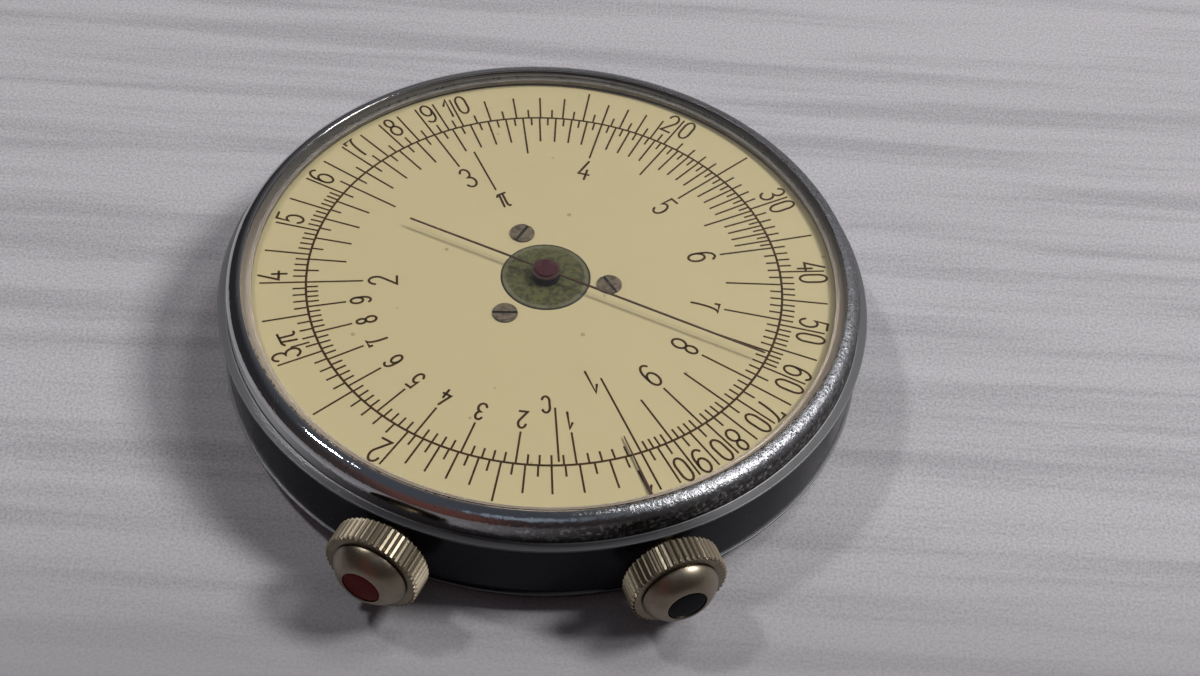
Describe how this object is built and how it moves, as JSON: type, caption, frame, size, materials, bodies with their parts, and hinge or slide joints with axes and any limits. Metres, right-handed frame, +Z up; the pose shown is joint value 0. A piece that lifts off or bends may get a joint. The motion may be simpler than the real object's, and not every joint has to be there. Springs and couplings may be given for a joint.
{
  "type": "circular slide rule",
  "caption": "Pocket circular slide rule: a round black case with plated bezels, a turning cream dial and a pointer under a crystal, driven by two knurled side knobs.",
  "frame": {"origin": "on the case's axis, at the plane of the rear bezel's flat rim, which the rule rests on", "axes": "+Z up along the case's axis, out of the front dial; -Y towards the middle between the two knobs"},
  "size_m": [0.052, 0.055, 0.0106],
  "materials": {
    "case_plastic": "semi-gloss black moulding, fine scuffs",
    "bezel_chrome": "bright plating with small pits and dark stains",
    "crystal": "clear crystal, domed at the front, with faint scratches",
    "ring_metal": "dull metal",
    "dial_paint": "satin cream paint with dark brown print",
    "wheel_brass": "oxidised brass, greenish where it shows",
    "screw_steel": "dull, stained",
    "stem_steel": "turned",
    "needle_black": "dark brown-black paint",
    "pointer_red": "worn dark red paint",
    "knob_nickel": "warm grey nickel, dull in the knurl",
    "dot_black": "glossy black enamel",
    "dot_red": "glossy dark red enamel"
  },
  "bodies": {
    "case": {"case_body": "case_plastic", "front_bezel": "bezel_chrome", "front_glass": "crystal", "glass_seat_ring": "ring_metal", "index_needle": "needle_black", "base_plate": "wheel_brass", "plate_screws": "screw_steel", "bridge_pillars": "wheel_brass", "bridge": "wheel_brass", "bridge_screws": "screw_steel", "dial_bearing": "wheel_brass", "arbor_bush": "wheel_brass", "rear_dial": "dial_paint", "rear_dial_screws": "screw_steel", "rear_spacer_ring": "ring_metal", "rear_glass": "crystal", "rear_bezel": "bezel_chrome", "dial_stem_bush": "wheel_brass", "pointer_stem_bush": "wheel_brass"},
    "dial": {"front_dial": "dial_paint", "dial_wheel": "wheel_brass", "dial_screws": "screw_steel"},
    "pointers": {"pointer_arbor": "stem_steel", "pointer_wheel": "wheel_brass", "front_pointer": "needle_black", "front_pointer_hub": "pointer_red", "front_pointer_cap": "pointer_red", "rear_pointer": "needle_black", "rear_pointer_hub": "pointer_red", "rear_pointer_cap": "pointer_red"},
    "dial_crown": {"dial_knob": "knob_nickel", "dial_knob_dot": "dot_black", "dial_stem": "stem_steel", "dial_pinion": "stem_steel", "dial_stem_clip": "stem_steel"},
    "pointer_crown": {"pointer_knob": "knob_nickel", "pointer_knob_dot": "dot_red", "pointer_stem": "stem_steel", "pointer_pinion": "stem_steel", "pointer_stem_clip": "stem_steel"}
  },
  "joints": [
    {"name": "dial_turn", "type": "hinge", "parent": "case", "child": "dial", "pos_m": [0, 0, 0.0083], "axis": [0, 0, 1], "continuous": true},
    {"name": "pointer_turn", "type": "hinge", "parent": "case", "child": "pointers", "pos_m": [0, 0, 0.00535], "axis": [0, 0, 1], "continuous": true},
    {"name": "dial_knob_turn", "type": "hinge", "parent": "case", "child": "dial_crown", "pos_m": [0.01072, -0.02587, 0.00535], "axis": [0.3827, -0.9239, 0], "continuous": true},
    {"name": "pointer_knob_turn", "type": "hinge", "parent": "case", "child": "pointer_crown", "pos_m": [-0.01072, -0.02587, 0.00535], "axis": [-0.3827, -0.9239, 0], "continuous": true}
  ],
  "couplings": [
    {"joint": "dial_knob_turn", "follows": "dial_turn", "ratio": -8},
    {"joint": "pointer_knob_turn", "follows": "pointer_turn", "ratio": 4.8}
  ]
}
